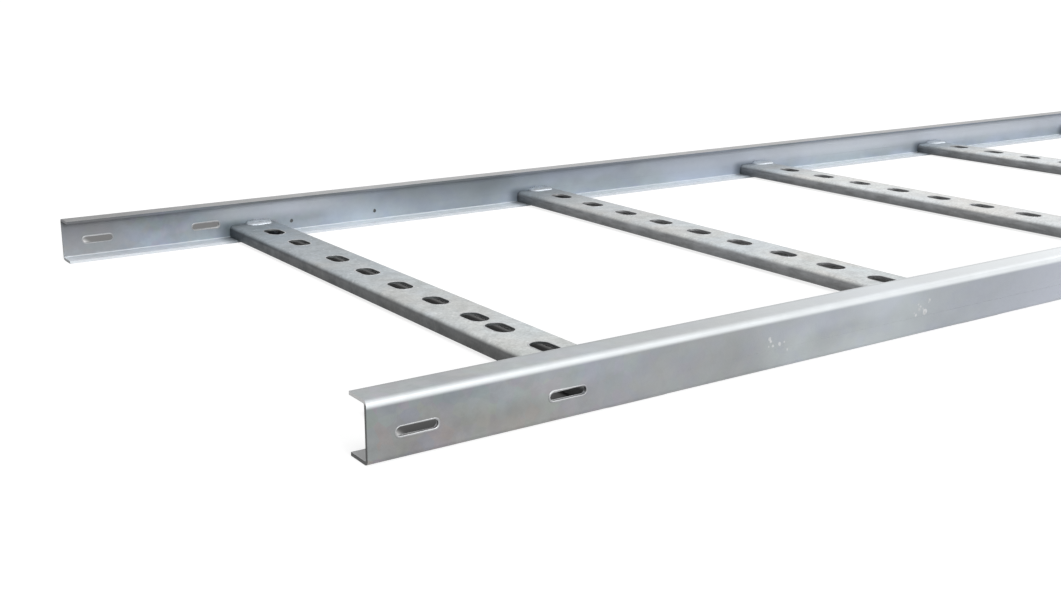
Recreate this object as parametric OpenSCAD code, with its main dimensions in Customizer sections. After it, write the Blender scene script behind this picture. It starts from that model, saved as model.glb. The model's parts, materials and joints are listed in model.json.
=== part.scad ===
// Cable ladder section: two C-section side rails with slotted channel rungs seated between them.
// X runs along the rails, Y across the ladder and Z up.
// The origin is the middle of the ladder's footprint on the floor.

/* [Ladder] */
// Length of the side rails
ladder_length = 3000; // [1000:50:6000]
// Width over the outer faces of the side rails
ladder_width = 530; // [200:10:1000]

/* [Side rail] */
// Height of a side rail
rail_height = 34; // [30:1:100]
// Width of a side rail's flanges, measured over the web
rail_flange_w = 18; // [12:0.5:30]
// Thickness of the side rail's sheet
rail_t = 2; // [1.5:0.1:3]
// Inside radius of the side rail's bends
rail_bend_r = 1; // [1:0.5:4]

/* [Joint slots] */
// Length of a joint slot, end to end
joint_slot_l = 24; // [12:1:35]
// Width of a joint slot
joint_slot_w = 5; // [4:0.5:9]
// Rail end to the centre of the first joint slot
joint_slot_start = 28; // [20:1:45]
// Distance between the two joint slots at one rail end
joint_slot_pitch = 92; // [50:1:150]
// Drop of the joint slots below the middle of the web
joint_slot_drop = 2.5; // [0:0.5:3]

/* [Rungs] */
// Distance between rung centres
rung_pitch = 300; // [200:10:500]
// Rail end to the centre of the first rung
rung_start = 163; // [60:1:250]
// Least distance from the last rung's centre to the other rail end
rung_end_min = 100; // [60:5:130]
// Width of a rung
rung_w = 44; // [30:1:60]
// Height of a rung
rung_h = 10; // [8:0.5:20]
// Thickness of the rung's sheet
rung_t = 1.5; // [1:0.1:2.5]
// Inside radius of the rung's bends
rung_bend_r = 2.5; // [1:0.5:3]

/* [Rung slots] */
// Length of a rung slot, end to end
slot_l = 24; // [18:1:30]
// Width of a rung slot
slot_w = 14; // [6:0.5:16]
// Distance between the rung slots
slot_pitch = 50; // [40:1:80]
// Least metal between the last slot and the rung's end
slot_edge = 6; // [4:1:8]
// Metal between the two slots that meet where the first rung's punching starts again
slot_bridge = 6; // [3:0.5:12]
// How far the slot rows sit off the ladder's middle, towards the front rail
slot_offset = 7; // [0:1:8]
// How much further the third rung's slots sit towards the front rail
slot_phase = 10; // [0:1:10]

/* [Hidden] */
$fn = 48;
// Extra depth that lets a cut pass clean through a sheet
cut_over = 1;
rung_count = floor((ladder_length - rung_start - rung_end_min) / rung_pitch) + 1;
// A rung drops in between the rails' bends and stands on both bottom flanges
rung_len = ladder_width - 2 * (rail_t + rail_bend_r);
slot_span = rung_len - 2 * (slot_edge + slot_offset + slot_phase);
slot_count = floor((slot_span - slot_l) / slot_pitch) + 1;
// Slots at each end of the first rung that stay in step where the middle ones are shifted
steady_near = 3;
steady_far = 2;
restart_shift = slot_pitch - slot_l - slot_bridge;

// Centre of a rung along the ladder, counted from the end with the longer first bay
function rung_x(i) = -ladder_length / 2 + rung_start + (i - 1) * rung_pitch;

// Shift of slot k on rung i away from the even pattern
function slot_shift(i, k) =
    i == 1 && k > steady_near && k <= slot_count - steady_far ? -restart_shift :
    i == 3 ? -slot_phase : 0;

function slot_y(i, k) = (k - (slot_count + 1) / 2) * slot_pitch - slot_offset + slot_shift(i, k);

// Bar of width w and height h with both corners on its left side rounded
module left_rounded_bar(w, h, r) {
    translate([r, 0]) square([w - r, h]);
    translate([0, r]) square([w, h - 2 * r]);
    for (y = [r, h - r]) translate([r, y]) circle(r);
}

// Bent channel: the web stands on the left, and both flanges point to the right
module channel_2d(web, flange, t, r) {
    difference() {
        left_rounded_bar(flange, web, t + r);
        translate([t, t]) left_rounded_bar(flange, web - 2 * t, r);
    }
}

// Slot with round ends, lying along X
module slot_2d(l, w) {
    square([l - w, w], center = true);
    for (x = [-1, 1] * (l - w) / 2) translate([x, 0]) circle(w / 2);
}

module joint_slot_cut() {
    translate([0, rail_t + cut_over, 0])
        rotate([90, 0, 0])
            linear_extrude(rail_t + 2 * cut_over) slot_2d(joint_slot_l, joint_slot_w);
}

// Side rail with its web's outer face at Y = 0 and its flanges towards +Y
module side_rail() {
    slot_z = rail_height / 2 - joint_slot_drop;
    color([0.66, 0.69, 0.72])
        difference() {
            translate([-ladder_length / 2, 0, 0])
                rotate([90, 0, 90])
                    linear_extrude(ladder_length)
                        channel_2d(rail_height, rail_flange_w, rail_t, rail_bend_r);
            for (end = [-1, 1], slot = [0, 1]) {
                from_end = joint_slot_start + slot * joint_slot_pitch;
                translate([end * (ladder_length / 2 - from_end), 0, slot_z]) joint_slot_cut();
            }
        }
}

module front_side_rail() {
    translate([0, -ladder_width / 2, 0]) side_rail();
}

module back_side_rail() {
    mirror([0, 1, 0]) front_side_rail();
}

// Rung i: an upside-down channel with a row of slots along its top
module rung(i) {
    color([0.75, 0.77, 0.78])
        translate([rung_x(i), 0, rail_t])
            difference() {
                translate([-rung_w / 2, rung_len / 2, rung_h])
                    rotate([90, 0, 0])
                        linear_extrude(rung_len)
                            rotate(-90) channel_2d(rung_w, rung_h, rung_t, rung_bend_r);
                for (k = [1 : slot_count])
                    translate([0, slot_y(i, k), rung_h - rung_t - cut_over])
                        linear_extrude(rung_t + 2 * cut_over)
                            rotate(90) slot_2d(slot_l, slot_w);
            }
}

front_side_rail();
back_side_rail();
for (i = [1 : rung_count])
    rung(i);
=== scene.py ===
"""Looks of a galvanised cable ladder section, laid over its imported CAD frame."""
import json
import math
import random

import bmesh
import bpy
from mathutils import Matrix, Vector, noise


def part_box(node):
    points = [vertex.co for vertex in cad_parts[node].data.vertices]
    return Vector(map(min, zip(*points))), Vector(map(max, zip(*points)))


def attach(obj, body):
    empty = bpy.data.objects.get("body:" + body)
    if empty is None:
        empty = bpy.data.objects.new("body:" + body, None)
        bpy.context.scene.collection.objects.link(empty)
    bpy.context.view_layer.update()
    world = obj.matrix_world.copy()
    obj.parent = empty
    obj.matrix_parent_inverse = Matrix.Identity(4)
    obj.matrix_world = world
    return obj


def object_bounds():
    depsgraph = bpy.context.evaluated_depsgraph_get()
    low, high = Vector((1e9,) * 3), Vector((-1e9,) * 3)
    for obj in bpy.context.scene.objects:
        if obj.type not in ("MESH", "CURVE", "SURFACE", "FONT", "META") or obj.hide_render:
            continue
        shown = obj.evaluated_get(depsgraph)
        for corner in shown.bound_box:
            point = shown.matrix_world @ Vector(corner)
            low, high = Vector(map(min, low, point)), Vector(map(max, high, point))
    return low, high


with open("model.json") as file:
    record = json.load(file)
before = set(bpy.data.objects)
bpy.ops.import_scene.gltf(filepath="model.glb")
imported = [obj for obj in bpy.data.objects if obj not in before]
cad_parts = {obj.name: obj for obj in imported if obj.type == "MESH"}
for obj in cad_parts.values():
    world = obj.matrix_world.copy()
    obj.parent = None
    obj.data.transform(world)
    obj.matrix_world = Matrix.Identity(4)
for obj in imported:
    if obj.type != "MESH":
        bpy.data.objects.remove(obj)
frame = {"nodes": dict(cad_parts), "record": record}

MM = 0.001
X, Y, Z = Vector((1, 0, 0)), Vector((0, 1, 0)), Vector((0, 0, 1))
CAD_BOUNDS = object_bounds()
RECORD = frame["record"]
RAILS = ["front_side_rail", "back_side_rail"]
RUNGS = sorted((n for n in frame["nodes"] if n.startswith("rung_")), key=lambda n: int(n[5:]))

LEFT_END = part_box(RAILS[0])[0]          # lowest outer corner of the front rail, near the camera
RUNG_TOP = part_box(RUNGS[0])[1].z
RUNG_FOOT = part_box(RUNGS[0])[0].z
SHEET = RUNG_FOOT - CAD_BOUNDS[0].z     # a rung stands on the bottom flanges, one sheet thick
WEB_INSIDE = CAD_BOUNDS[1].y - SHEET    # from the middle to the inner face of either web
RUNG_FIRST = (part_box(RUNGS[0])[0].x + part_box(RUNGS[0])[1].x) / 2
RUNG_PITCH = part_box(RUNGS[1])[0].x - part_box(RUNGS[0])[0].x
RUNG_HALF = (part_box(RUNGS[0])[1].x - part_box(RUNGS[0])[0].x) / 2     # half a rung's width
RAIL_TOP = CAD_BOUNDS[1].z
FLANGE_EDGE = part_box(RAILS[0])[1].y     # inner edge of the front rail's flanges


# ---------------------------------------------------------------- camera

def make_camera():
    """A 44 mm lens just outside the front rail's left end, looking along the ladder."""
    azimuth, elevation, roll = math.radians(34.418), math.radians(15.001), math.radians(0.133)
    forward = Vector((math.sin(azimuth) * math.cos(elevation),
                      math.cos(azimuth) * math.cos(elevation),
                      -math.sin(elevation)))
    right = Vector((math.cos(azimuth), -math.sin(azimuth), 0))
    up = right.cross(forward)
    rolled_right = right * math.cos(roll) + up * math.sin(roll)
    rolled_up = up * math.cos(roll) - right * math.sin(roll)
    data = bpy.data.cameras.new("camera")
    data.sensor_width = 36
    data.lens = 44.05
    data.clip_start = 0.01
    data.clip_end = 100
    cam = bpy.data.objects.new("camera", data)
    bpy.context.scene.collection.objects.link(cam)
    turn = Matrix((rolled_right, rolled_up, -forward)).transposed().to_4x4()
    off_left_end = Vector((-267.1, -529.1, 241.6)) * MM
    place = Vector((LEFT_END.x, LEFT_END.y, 0)) + off_left_end
    cam.matrix_world = Matrix.Translation(place) @ turn
    bpy.context.scene.camera = cam


# ---------------------------------------------------------------- node materials

class Graph:
    """Short calls for building the node tree of a material or of the world."""

    def __init__(self, owner):
        owner.use_nodes = True
        self.owner = owner
        self.tree = owner.node_tree
        self.tree.nodes.clear()

    def node(self, kind, inputs=None, **settings):
        made = self.tree.nodes.new(kind)
        for key, value in settings.items():
            setattr(made, key, value)
        for key, value in (inputs or {}).items():
            self.put(value, made.inputs[key])
        return made

    def put(self, value, socket):
        if isinstance(value, bpy.types.NodeSocket):
            self.tree.links.new(value, socket)
        else:
            socket.default_value = value

    def place(self):
        return self.node("ShaderNodeTexCoord").outputs["Object"]

    def normal(self):
        return self.axes(self.node("ShaderNodeNewGeometry").outputs["Normal"])

    def axes(self, vector):
        return self.node("ShaderNodeSeparateXYZ", {"Vector": vector}).outputs

    def stretched(self, vector, scale):
        return self.node("ShaderNodeMapping", {"Vector": vector, "Scale": scale}).outputs[0]

    def noise(self, vector, scale, detail=3.0, rough=0.55, distortion=0.0):
        made = self.node("ShaderNodeTexNoise", {
            "Vector": vector, "Scale": scale, "Detail": detail,
            "Roughness": rough, "Distortion": distortion})
        return made.outputs["Fac"]

    def cells(self, vector, scale, output="Distance"):
        return self.node("ShaderNodeTexVoronoi", {"Vector": vector, "Scale": scale}).outputs[output]

    def fit(self, value, low, high, to_low=0.0, to_high=1.0):
        """Carries low..high smoothly to to_low..to_high, and stays level beyond both."""
        made = self.node("ShaderNodeMapRange", {
            "Value": value, "From Min": low, "From Max": high, "To Min": to_low, "To Max": to_high})
        made.interpolation_type = "SMOOTHSTEP"
        return made.outputs[0]

    def math(self, operation, a, b=0.0):
        return self.node("ShaderNodeMath", {0: a, 1: b}, operation=operation).outputs[0]

    def times(self, *factors):
        made = factors[0]
        for factor in factors[1:]:
            made = self.math("MULTIPLY", made, factor)
        return made

    def mix(self, factor, a, b, blend="MIX"):
        made = self.node("ShaderNodeMix", data_type="RGBA", blend_type=blend)
        for socket, value in ((made.inputs[0], factor), (made.inputs[6], a), (made.inputs[7], b)):
            self.put(value, socket)
        return made.outputs[2]

    def finish(self, colour, roughness, metallic, height, relief):
        """Ends a material: relief is the depth in metres of the bumps that height draws."""
        shader = self.node("ShaderNodeBsdfPrincipled", {
            "Base Color": colour, "Roughness": roughness, "Metallic": metallic})
        bumped = self.node("ShaderNodeBump", {"Strength": 1.0, "Distance": relief, "Height": height})
        self.put(bumped.outputs[0], shader.inputs["Normal"])
        self.node("ShaderNodeOutputMaterial", {"Surface": shader.outputs[0]})
        return self.owner


def material_graph(name):
    return Graph(bpy.data.materials.new(name))


def band(g, value, start, full, fade, end):
    """Rises smoothly from start to full and falls from fade to end."""
    return g.times(g.fit(value, start, full), g.fit(value, fade, end, 1.0, 0.0))


def from_left(distance):
    """The x of a place so many mm from the left end of the ladder."""
    return LEFT_END.x + distance * MM


def rail_part(g, x, start, full, fade, end):
    """A band along the rails, by its distances in mm from the left end."""
    return band(g, x, from_left(start), from_left(full), from_left(fade), from_left(end))


def past_rung(g, x):
    """How far x lies to the right of the middle of the nearest rung, in metres."""
    shifted = g.math("SUBTRACT", x, RUNG_FIRST - RUNG_PITCH / 2)
    return g.math("SUBTRACT", g.math("FLOORED_MODULO", shifted, RUNG_PITCH), RUNG_PITCH / 2)


def grey(value, warm=0.0, green=0.0):
    """A near-neutral colour: warm above 0 is brownish and below 0 bluish."""
    return (value * (1 + warm), value * (1 + green), value * (1 - warm), 1.0)


def zinc_clouds(g, at, base, blue=0.0):
    """Soft brownish, bluish and greenish clouds of dull zinc, with a fine mottle and faint spangle."""
    clouds = g.fit(g.noise(at, 11.0, 4.0, 0.6, 0.6), 0.38, 0.62)
    tint = g.mix(clouds, grey(base, 0.02 - blue, 0.01), grey(base * 1.05, -0.04 - blue, 0.01))
    greenish = g.fit(g.noise(g.stretched(at, (1.0, 1.4, 1.4)), 17.0, 3.0), 0.52, 0.70, 0.0, 0.6)
    tint = g.mix(greenish, tint, grey(base * 0.98, -0.01, 0.03))
    mottle = g.noise(at, 80.0, 5.0, 0.62, 0.3)
    tint = g.mix(1.0, tint, g.fit(mottle, 0.3, 0.7, 0.90, 1.09), "MULTIPLY")
    return g.mix(0.07, tint, g.cells(at, 130.0, "Color"), "SOFT_LIGHT"), mottle


def zinc_surface(g, at, tint, mottle):
    """Dull metal with the slightly orange-peeled skin of hot-dip zinc."""
    fine = g.noise(at, 900.0, 3.0, 0.6)
    rough = g.fit(mottle, 0.3, 0.7, 0.56, 0.42)
    height = g.math("ADD", g.times(mottle, 0.8), g.times(fine, 0.25))
    return g.finish(tint, rough, 0.5, height, 0.3 * MM)


def rail_tint(g, at, left, right, blue):
    """Dull zinc of lightness left to right along the rail, with patches and cool and lilac clouds."""
    x = g.axes(at)[0]
    tint, mottle = zinc_clouds(g, at, left, blue)
    along = g.fit(x, from_left(-60), from_left(400))
    tint = g.mix(g.times(along, 0.85), tint, grey(right, -0.02 - blue, 0.01))
    patches = g.noise(g.stretched(at, (0.6, 1.0, 1.0)), 17.0, 3.0, 0.6)
    tint = g.mix(1.0, tint, g.fit(patches, 0.33, 0.67, 0.85, 1.11), "MULTIPLY")
    cool = g.fit(g.noise(g.stretched(at, (0.7, 1.0, 1.2)), 30.0, 4.0, 0.65), 0.46, 0.58)
    tint = g.mix(g.times(cool, 0.65), tint, grey(0.99, -0.045, -0.05), "MULTIPLY")
    lilac = g.fit(g.noise(g.stretched(at, (0.5, 1.0, 1.2)), 21.0, 2.0), 0.42, 0.58)
    amount = g.fit(x, from_left(100), from_left(600), 3 * blue, 0.75)
    return g.mix(g.times(lilac, amount), tint, grey(right * 1.10, -0.06 - blue, -0.05)), mottle


def front_rail_material():
    """Brownish at the left end, paler and patchy along the rail, with painted light on the flange tops
    and a painted highlight along the top bend.
    """
    g = material_graph("galvanised_front_rail")
    at = g.place()
    x, y, z = g.axes(at)
    nx, ny, nz = g.normal()
    tint, mottle = rail_tint(g, at, left=0.210, right=0.380, blue=0.0)
    brown_patch = rail_part(g, x, 130, 200, 240, 300)
    tint = g.mix(g.times(brown_patch, 0.35), tint, grey(0.17, 0.03))
    pale_patch = rail_part(g, x, 320, 370, 380, 410)
    tint = g.mix(g.times(pale_patch, 0.2), tint, grey(0.60, -0.04, 0.01))
    lilac_patch = rail_part(g, x, 380, 430, 480, 560)
    tint = g.mix(g.times(lilac_patch, 0.5), tint, grey(0.29, -0.06, -0.04))
    brown = g.times(g.fit(z, 24 * MM, 6 * MM), g.fit(x, from_left(40), from_left(260), 0.9, 0.0))
    tone = g.mix(brown, grey(1.0, -0.03, 0.01), grey(0.94, 0.03, -0.01))
    tint = g.mix(1.0, tint, tone, "MULTIPLY")
    high = g.fit(z, RAIL_TOP - 14 * MM, RAIL_TOP - 9 * MM)
    # painted light: the upward faces of the top flange are painted paler, most of all along the middle
    # of the rail
    painted_flange_light = g.times(g.fit(x, from_left(50), from_left(850), 0.25, 1.0),
                     g.fit(x, from_left(1100), from_left(1800), 1.0, 0.4))
    tint = g.mix(g.times(g.fit(nz, 0.30, 0.70), high, painted_flange_light), tint, grey(1.0, -0.02, 0.01))
    lip = g.times(g.fit(y, FLANGE_EDGE - 3 * MM, FLANGE_EDGE - 1 * MM), high)
    tint = g.mix(g.times(lip, 0.25), tint, grey(0.30, -0.01, 0.02))
    # painted highlight: a bright band along the lower part of the top bend
    painted_bend_highlight = band(g, z, RAIL_TOP - 5.2 * MM, RAIL_TOP - 2.9 * MM, RAIL_TOP - 2.0 * MM, RAIL_TOP)
    tint = g.mix(g.times(painted_bend_highlight, g.fit(ny, -0.1, -0.3), 0.95), tint, grey(0.68, -0.03, 0.01))
    # painted light: the upward face of the bottom flange is painted paler
    painted_foot_light = g.times(g.fit(nz, 0.25, 0.75), g.fit(z, 7 * MM, 4 * MM))
    tint = g.mix(g.times(painted_foot_light, 0.9), tint, grey(0.40, -0.01))
    cut = g.mix(g.fit(z, RAIL_TOP - 1.5 * MM, RAIL_TOP - 3 * MM), grey(0.55), grey(0.05))
    tint = g.mix(g.fit(nx, -0.80, -0.95, 0.0, 0.9), tint, cut)
    return zinc_surface(g, at, tint, mottle)


def back_rail_material():
    """Bluish, with a painted dark line of shade under the top flange, painted shade on the inner web
    that pales downwards, pale painted sheens, and painted shadow left of each rung.
    """
    g = material_graph("galvanised_back_rail")
    at = g.place()
    x, _, z = g.axes(at)
    _, ny, nz = g.normal()
    tint, mottle = rail_tint(g, at, left=0.172, right=0.280, blue=0.10)
    tint = g.mix(g.fit(x, from_left(70), from_left(30), 0.0, 0.6), tint, grey(0.158))

    inner = g.fit(ny, -0.3, -0.7)
    # painted shade: the inner web is darkened towards the top under the flange and made paler
    # downwards
    down = g.fit(z, RAIL_TOP - 3 * MM, 3 * MM, 0.80, 1.38)
    tint = g.mix(inner, tint, g.mix(1.0, tint, down, "MULTIPLY"))
    # a darker bluish patch on the inner web, left of the second rung
    dull = g.times(inner, rail_part(g, x, 260, 340, 400, 440), 0.4)
    tint = g.mix(dull, tint, grey(0.12, -0.12, 0.02))
    # painted light: pale sheens on the upper inner web, near the first rung and along the right part
    # of the rail
    web = g.times(inner, g.fit(z, RAIL_TOP - 1.5 * MM, RAIL_TOP - 2.5 * MM))
    left_sheen = g.times(rail_part(g, x, 100, 150, 200, 300),
                         g.fit(z, RAIL_TOP - 24 * MM, RAIL_TOP - 12 * MM), 0.4)
    right_sheen = g.times(g.fit(x, from_left(420), from_left(950)),
                          g.fit(z, RAIL_TOP - 29 * MM, RAIL_TOP - 14 * MM), 0.68)
    sheen = g.times(g.math("MAXIMUM", left_sheen, right_sheen), web)
    tint = g.mix(sheen, tint, grey(0.60, -0.07, -0.02))
    # painted shade: a dark line on the web just under the top flange, fading along the rail
    painted_shade_under_flange = g.times(g.fit(z, RAIL_TOP - 7 * MM, RAIL_TOP - 2.5 * MM), g.fit(nz, 0.1, -0.1),
                           g.fit(x, from_left(520), from_left(800), 0.85, 0.2))
    tint = g.mix(painted_shade_under_flange, tint, grey(0.05, 0.0, 0.02))

    # painted light: the upward face of the top flange gets its own grey, paler than the web and paler
    # along the rail
    top = g.times(g.fit(nz, 0.2, 0.6), g.fit(z, RAIL_TOP - 2.5 * MM, RAIL_TOP - 1 * MM))
    off_end = g.fit(x, from_left(0), from_left(300))
    tint = g.mix(g.times(top, 0.9), tint, g.mix(off_end, grey(0.25), grey(0.41)))
    # painted light: the upward face of the bottom flange is painted near white, palest along the rail
    painted_foot_light = g.times(g.fit(nz, 0.25, 0.75), g.fit(z, 7 * MM, 4 * MM))
    tint = g.mix(painted_foot_light, tint, g.mix(off_end, grey(0.86, -0.05), grey(1.0, -0.05)))
    # painted shade: the front edge of the bottom flange is greyer than the flange's pale upward face
    lip = g.times(g.fit(z, 2.6 * MM, 2.0 * MM), g.fit(ny, -0.8, -0.95))
    tint = g.mix(g.times(lip, 0.8), tint, grey(0.60, -0.05))

    past = past_rung(g, x)
    # painted shadow: a bluish shade on the web and flange just left of each rung
    painted_rung_shadow = band(g, past, -RUNG_HALF - 14 * MM, -RUNG_HALF - 1 * MM, 0.0, 1 * MM)
    painted_rung_shadow = g.times(painted_rung_shadow, g.fit(z, RUNG_TOP + 6 * MM, RUNG_TOP - 1 * MM), 0.65)
    tint = g.mix(painted_rung_shadow, tint, grey(0.07, -0.28, 0.02))
    return zinc_surface(g, at, tint, mottle)


def rung_material():
    """Finely speckled on top, paler forwards and from rung to rung, with painted shade on the sides
    and slot walls and painted light on the channel's inner faces.
    """
    g = material_graph("galvanised_rung")
    at = g.place()
    x, y, z = g.axes(at)
    nz = g.normal()[2]
    by_second = g.fit(x, RUNG_FIRST, RUNG_FIRST + RUNG_PITCH)
    by_third = g.fit(x, RUNG_FIRST, RUNG_FIRST + 2 * RUNG_PITCH)
    forwards = g.fit(y, WEB_INSIDE, -WEB_INSIDE)
    by_back_rail = g.fit(y, WEB_INSIDE - 130 * MM, WEB_INSIDE - 20 * MM)

    clouds, mottle = zinc_clouds(g, at, 1.0)
    tint = g.mix(forwards, grey(0.34, -0.04), grey(0.64, -0.01, 0.01))
    tint = g.mix(by_third, tint, grey(0.71))
    tint = g.mix(g.times(by_back_rail, 0.6), tint, grey(0.42, -0.12))
    tint = g.mix(1.0, tint, clouds, "MULTIPLY")
    speckle = g.noise(at, 420.0, 4.0, 0.7)
    tint = g.mix(1.0, tint, g.fit(speckle, 0.3, 0.7, 0.86, 1.12), "MULTIPLY")
    pale = g.fit(g.cells(at, 210.0), 0.10, 0.24, 0.5, 0.0)
    tint = g.mix(g.times(pale, g.fit(g.noise(at, 35.0, 2.0), 0.50, 0.62)), tint, grey(0.88))

    # painted shade: the rungs' sides are dark, darkest towards the foot, lighter from the second rung
    # on and bluish near the back rail
    low = g.mix(by_second, grey(0.010, -0.04), grey(0.11, -0.03))
    high = g.mix(by_second, grey(0.055, -0.04), grey(0.22, -0.03))
    side = g.mix(g.fit(z, RUNG_FOOT + 1 * MM, RUNG_TOP - 2 * MM), low, high)
    bluish = g.times(by_back_rail, g.fit(x, RUNG_FIRST, RUNG_FIRST + RUNG_PITCH, 0.5, 0.1))
    side = g.mix(bluish, side, grey(0.05, -0.30))
    streaks = g.noise(g.stretched(at, (1.0, 0.3, 1.5)), 150.0, 4.0, 0.65)
    side = g.mix(1.0, side, g.fit(streaks, 0.3, 0.7, 0.68, 1.32), "MULTIPLY")
    tint = g.mix(g.fit(nz, 0.92, 0.25, 0.0, 0.9), tint, side)
    off_middle = g.math("ABSOLUTE", past_rung(g, x))
    within_skin = g.fit(off_middle, RUNG_HALF - 0.8 * MM, RUNG_HALF - 1.2 * MM)
    # painted light: the inner faces of the channel are painted pale
    inside = g.times(g.fit(nz, 0.3, 0.2), within_skin)
    tint = g.mix(inside, tint, grey(0.75))
    # painted shade: the walls of the slots through the top sheet are dark, less so from the second
    # rung on
    painted_slot_wall_shade = g.times(inside, g.fit(z, RUNG_TOP - 2.2 * MM, RUNG_TOP - 1.4 * MM))
    tint = g.mix(painted_slot_wall_shade, tint, g.mix(by_second, grey(0.11, -0.05, 0.03), grey(0.24, -0.02)))
    return zinc_surface(g, at, tint, mottle)


def bright_zinc(name, base, warm=-0.02, painted_top_light=None):
    """Thick fresh zinc on welds, rims and splashes, with optional painted light on the faces that look
    up.
    """
    g = material_graph(name)
    at = g.place()
    mottle = g.noise(at, 260.0, 4.0, 0.6)
    tint = g.mix(g.fit(mottle, 0.3, 0.7), grey(base * 0.80, warm), grey(base, warm))
    # painted light: faces that look up are painted paler when a grey is given
    if painted_top_light:
        tint = g.mix(g.fit(g.normal()[2], 0.2, 0.7), tint, grey(painted_top_light, -0.02))
    return zinc_surface(g, at, tint, mottle)


def dark_spot_material():
    """Bare spots that the zinc has left dark."""
    g = material_graph("bare_spot")
    at = g.place()
    mottle = g.noise(at, 500.0, 3.0)
    tint = g.mix(g.fit(mottle, 0.3, 0.7), grey(0.03, -0.05), grey(0.10, -0.05))
    return g.finish(tint, 0.6, 0.3, mottle, 0.2 * MM)


def dress_cad():
    """Gives every CAD node its material."""
    looks = {RAILS[0]: front_rail_material(), RAILS[1]: back_rail_material()}
    rung_look = rung_material()
    for name in RAILS + RUNGS:
        mesh = frame["nodes"][name].data
        mesh.materials.clear()
        mesh.materials.append(looks.get(name, rung_look))


# ---------------------------------------------------------------- small pieces

def add_piece(name, bm, material):
    """Turns a bmesh into a smooth-shaded piece that rides with the ladder."""
    bmesh.ops.recalc_face_normals(bm, faces=bm.faces)
    mesh = bpy.data.meshes.new(name)
    bm.to_mesh(mesh)
    bm.free()
    for face in mesh.polygons:
        face.use_smooth = True
    mesh.materials.append(material)
    piece = bpy.data.objects.new(name, mesh)
    bpy.context.scene.collection.objects.link(piece)
    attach(piece, "root")


def skin_loops(bm, loops, closed):
    """Faces between rows of vertices: each row is a closed loop, and the rows may close too."""
    rows = [[bm.verts.new(p) for p in loop] for loop in loops]
    pairs = list(zip(rows, rows[1:])) + ([(rows[-1], rows[0])] if closed else [])
    for a, b in pairs:
        for i in range(len(a)):
            j = (i + 1) % len(a)
            bm.faces.new((a[i], a[j], b[j], b[i]))
    if not closed:
        bm.faces.new(rows[0])
        bm.faces.new(rows[-1])


def slot_outline(length, width, steps):
    """Points and outward directions round a slot with round ends, length along the first axis."""
    half, radius = (length - width) / 2, width / 2
    for end in (1, -1):
        for i in range(steps + 1):
            angle = math.pi * (i / steps - 0.5)
            out = Vector((end * math.cos(angle), end * math.sin(angle)))
            yield Vector((end * half, 0)) + out * radius, out


def add_rim(bm, centre, u, v, w, length, width, tube, rise):
    """A low raised rim round a slot, on the face whose outward direction is w."""
    steps, around = 10, 8
    loops = []
    for point, out in slot_outline(length, width, steps):
        lump = 1 + 0.9 * noise.noise((centre + u * point.x + v * point.y) * 130)
        loop = []
        for k in range(around):
            angle = 2 * math.pi * k / around
            flat = point + out * (tube * (0.75 + lump * math.cos(angle)))
            loop.append(centre + u * flat.x + v * flat.y + w * (rise * lump * math.sin(angle)))
        loops.append(loop)
    skin_loops(bm, loops, True)


def joint_slots():
    """Centre of every joint slot's mouth on the outside of its web, from the record's mounts."""
    for mount in RECORD["mounts"]:
        if "rail" not in mount["name"] or "spacing_x_mm" not in mount["dims"]:
            continue
        dims, at = mount["dims"], Vector(mount["pos_m"])
        for side in (-0.5, 0.5):
            centre = at + X * (side * dims["spacing_x_mm"] * MM)
            yield centre, dims["slot_length_mm"] * MM, 2 * dims["hole_r_mm"] * MM


def joint_slot_rims():
    """Rims on both faces of the web round every joint slot."""
    bm = bmesh.new()
    for centre, length, width in joint_slots():
        outwards, face = (Y, CAD_BOUNDS[1].y) if centre.y > 0 else (-Y, CAD_BOUNDS[0].y)
        outside = Vector((centre.x, face, centre.z))
        inside = outside - outwards * SHEET
        add_rim(bm, outside, X, Z, outwards, length, width, tube=0.5 * MM, rise=0.3 * MM)
        add_rim(bm, inside, X, Z, -outwards, length, width, tube=0.6 * MM, rise=0.25 * MM)
    zinc = bright_zinc("slot_rim_zinc", 0.34, painted_top_light=0.7)
    add_piece("joint_slot_rims", bm, zinc)


def rung_slots(name):
    """Middle, length and width of each slot in a rung, from the mesh's own points on the top face."""
    edge_strip = 5 * MM      # keeps the points of the side bends out
    slot_zone = 26 * MM      # more than a slot's length, less than the shortest step to the next
    low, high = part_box(name)
    flat_half = (high.x - low.x) / 2 - edge_strip
    middle = (high.x + low.x) / 2
    points = [v.co for v in frame["nodes"][name].data.vertices
              if abs(v.co.z - high.z) < 0.01 * MM and abs(v.co.x - middle) < flat_half]
    points.sort(key=lambda p: p.y)
    groups = [[points[0]]]
    for p in points[1:]:
        if p.y - groups[-1][0].y > slot_zone:
            groups.append([])
        groups[-1].append(p)
    for group in groups:
        ends = group[0].y, group[-1].y
        wide = max(p.x for p in group) - min(p.x for p in group)
        yield Vector((middle, sum(ends) / 2, high.z)), ends[1] - ends[0], wide


def rung_slot_rims():
    """A rim on the top face round every rung slot."""
    bm = bmesh.new()
    for name in RUNGS:
        for centre, length, width in rung_slots(name):
            add_rim(bm, centre, Y, X, Z, length, width, tube=0.5 * MM, rise=0.15 * MM)
    add_piece("rung_slot_rims", bm, bright_zinc("rung_rim_zinc", 0.60))


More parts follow.
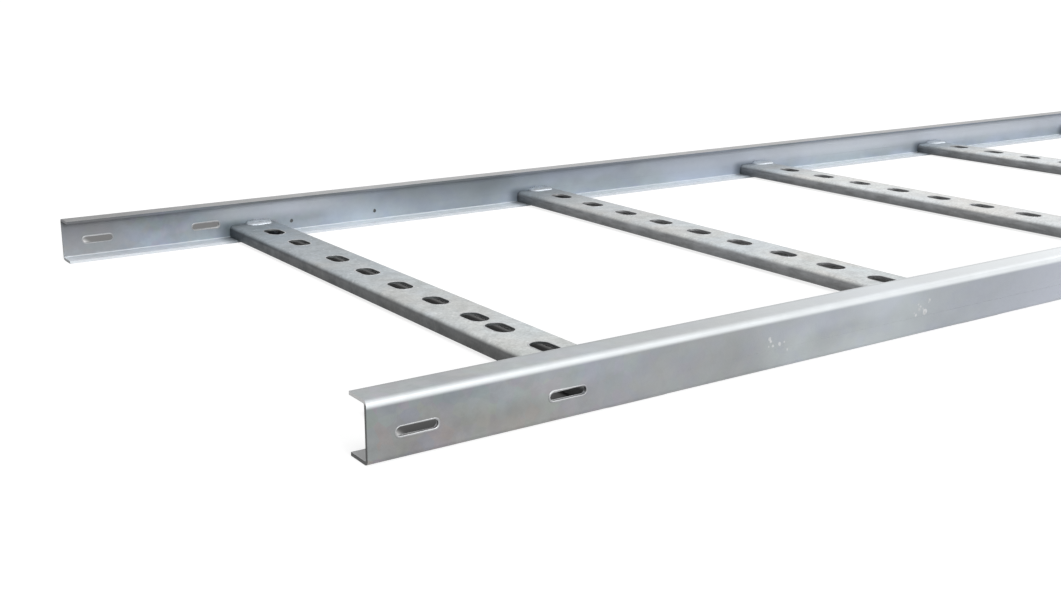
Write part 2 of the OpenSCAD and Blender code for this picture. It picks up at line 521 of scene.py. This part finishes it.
def add_bead(bm, middle, along, out_a, out_b, length, leg_a, leg_b):
    """A rippled weld bead in the corner between two faces, with a leg of its own on each face."""
    step, ripple_pitch, root_depth = 0.7 * MM, 2.4 * MM, 0.3 * MM
    stations, around = int(length / step), 8
    loops = []
    for i in range(stations + 1):
        s = i / stations
        at = middle + along * ((s - 0.5) * length)
        taper = (1 - abs(2 * s - 1) ** 5) ** 0.5 * 0.85 + 0.15
        ripple = 0.07 * math.sin(2 * math.pi * s * length / ripple_pitch)
        lump = 0.16 * noise.noise(at * 160)
        size = taper * (1 + ripple + lump)
        loop = [at - (out_a + out_b) * root_depth]
        for k in range(around + 1):
            angle = math.pi / 2 * k / around
            reach_a, reach_b = leg_a * size * math.cos(angle), leg_b * size * math.sin(angle)
            loop.append(at + out_a * reach_a + out_b * reach_b)
        loops.append(loop)
    skin_loops(bm, loops, False)


def weld_beads():
    """One bead across the top of every rung end, where it meets the web."""
    random.seed(4)
    bm = bmesh.new()
    for name in RUNGS:
        low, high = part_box(name)
        for side in (-1, 1):
            shift = random.uniform(3, 10) * MM
            middle = Vector(((low.x + high.x) / 2 + shift, side * WEB_INSIDE, high.z))
            length, on_rung = random.uniform(22, 27) * MM, random.uniform(9, 12) * MM
            on_web = 2.6 * MM
            add_bead(bm, middle, X, Z, Y * -side, length, on_web, on_rung)
    add_piece("weld_beads", bm, bright_zinc("weld_zinc", 0.92, -0.06))


def add_blob(bm, centre, outwards, radius, rise):
    """A flat rounded splash lying on a face."""
    u = outwards.orthogonal().normalized()
    v = outwards.cross(u)
    turns, rings, sunk = 14, 4, 0.05 * MM
    loops = []
    for ring in range(rings + 1):
        tilt = math.pi / 2 * ring / rings
        loop = []
        for k in range(turns):
            angle = 2 * math.pi * k / turns
            flat = u * math.cos(angle) + v * math.sin(angle)
            reach = radius * (1 + 0.3 * noise.noise(centre * 300 + flat * 0.8)) * math.cos(tilt)
            reach = max(reach, radius * 0.04)
            loop.append(centre + flat * reach + outwards * (rise * math.sin(tilt) - sunk))
        loops.append(loop)
    skin_loops(bm, loops, False)


def zinc_splashes():
    """Small splashes of thick zinc outside on the front rail's web, between the first two rungs."""
    random.seed(11)
    bm = bmesh.new()
    first_rung, second_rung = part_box(RUNGS[0])[1].x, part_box(RUNGS[1])[0].x
    left_group = (first_rung + 92 * MM, 15 * MM, 8, 10 * MM)
    right_group = (second_rung - 38 * MM, 18 * MM, 9, 9 * MM)
    for x, z, count, spread in (left_group, right_group):
        for _ in range(count):
            off = X * random.uniform(-spread, spread) + Z * random.uniform(-0.5, 0.5) * spread
            centre = Vector((x, LEFT_END.y, z)) + off
            add_blob(bm, centre, -Y, radius=random.uniform(0.6, 1.4) * MM, rise=0.1 * MM)
    largest = Vector((second_rung - 33 * MM, LEFT_END.y, 15 * MM))
    add_blob(bm, largest, -Y, radius=2.2 * MM, rise=0.2 * MM)
    add_piece("zinc_splashes", bm, bright_zinc("splash_zinc", 0.50))


def bare_spots():
    """Two small dark spots low on the inside of the back rail's web, right of the first rung."""
    bm = bmesh.new()
    first_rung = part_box(RUNGS[0])[1].x
    height = 10 * MM
    for gap in (14 * MM, 97 * MM):
        centre = Vector((first_rung + gap, WEB_INSIDE, height))
        add_blob(bm, centre, -Y, radius=1.9 * MM, rise=0.1 * MM)
    add_piece("bare_spots", bm, dark_spot_material())


# ---------------------------------------------------------------- studio

def seen_by_eye(g):
    """1 for camera, glossy and transmission rays, 0 for the light that floor and world shed."""
    path = g.node("ShaderNodeLightPath").outputs
    return g.math("MAXIMUM", path["Is Camera Ray"],
                  g.math("MAXIMUM", path["Is Glossy Ray"], path["Is Transmission Ray"]))


def contact_shade(g):
    """How deep the painted shadow is: strips of floor behind each rail and under each rung."""
    x, y, _ = g.axes(g.place())
    (left, front, _), (right, back, _) = CAD_BOUNDS
    rail_run = band(g, x, left + 28 * MM, left + 40 * MM, right - 40 * MM, right - 28 * MM)
    behind_front = band(g, y, front + 2 * MM, front + 8 * MM, front + 60 * MM, front + 78 * MM)
    behind_back = band(g, y, back - 1 * MM, back, back + 85 * MM, back + 110 * MM)
    rails = g.times(g.math("MAXIMUM", behind_front, g.times(behind_back, 0.80)), rail_run)
    under = band(g, past_rung(g, x), -16 * MM, -12 * MM, 25.5 * MM, 28 * MM)
    within = g.times(g.fit(g.math("ABSOLUTE", y), WEB_INSIDE - 1 * MM, WEB_INSIDE, 1.0, 0.0),
                     g.fit(g.math("ABSOLUTE", x), right - 1 * MM, right, 1.0, 0.0))
    return g.math("MAXIMUM", rails, g.times(under, within, 0.91))


def make_floor():
    """Pale floor that is white to the eye in the open and dark in the strips of contact_shade."""
    g = material_graph("studio_floor")
    shade = contact_shade(g)
    sheds = g.node("ShaderNodeBsdfDiffuse", {"Color": g.mix(shade, grey(0.8), grey(0.2))})
    lit = g.node("ShaderNodeBsdfDiffuse", {"Color": g.mix(shade, grey(0.30), grey(0.15))})
    glow = g.node("ShaderNodeEmission", {"Strength": g.fit(shade, 0.0, 1.0, 0.80, 0.0)})
    looks = g.node("ShaderNodeAddShader", {0: lit.outputs[0], 1: glow.outputs[0]})
    both = g.node("ShaderNodeMixShader", {0: seen_by_eye(g), 1: sheds.outputs[0], 2: looks.outputs[0]})
    g.node("ShaderNodeOutputMaterial", {"Surface": both.outputs[0]})
    mesh = bpy.data.meshes.new("studio_floor")
    half = 30.0
    corners = [(-half, -half, 0), (half, -half, 0), (half, half, 0), (-half, half, 0)]
    mesh.from_pydata(corners, [], [(0, 1, 2, 3)])
    mesh.materials.append(g.owner)
    floor = bpy.data.objects.new("studio_floor", mesh)
    floor.location.z = CAD_BOUNDS[0].z - 0.2 * MM
    bpy.context.scene.collection.objects.link(floor)


def make_world():
    """Soft light from all sides for the ladder, and plain white to the eye."""
    world = bpy.data.worlds.new("studio")
    g = Graph(world)
    soft = g.node("ShaderNodeBackground", {"Color": (1, 1, 1, 1), "Strength": 0.42})
    white = g.node("ShaderNodeBackground", {"Color": (1, 1, 1, 1), "Strength": 1.0})
    both = g.node("ShaderNodeMixShader", {0: seen_by_eye(g), 1: soft.outputs[0], 2: white.outputs[0]})
    g.node("ShaderNodeOutputWorld", {"Surface": both.outputs[0]})
    bpy.context.scene.world = world


def make_sun(name, energy, height, softness):
    """A soft lamp almost straight from the front, so that the rungs' left sides stay dark."""
    data = bpy.data.lights.new(name, "SUN")
    data.energy = energy
    data.angle = math.radians(softness)
    lamp = bpy.data.objects.new(name, data)
    down = math.radians(height)
    towards = Vector((0.03, math.cos(down), -math.sin(down)))
    lamp.rotation_mode = "QUATERNION"
    lamp.rotation_quaternion = towards.to_track_quat("-Z", "Y")
    bpy.context.scene.collection.objects.link(lamp)


make_camera()
dress_cad()
joint_slot_rims()
rung_slot_rims()
weld_beads()
zinc_splashes()
bare_spots()
make_floor()
make_world()
make_sun("low_front", energy=2.2, height=16, softness=16)
make_sun("overhead", energy=0.95, height=70, softness=30)

scene = bpy.context.scene
scene.view_settings.view_transform = "Standard"
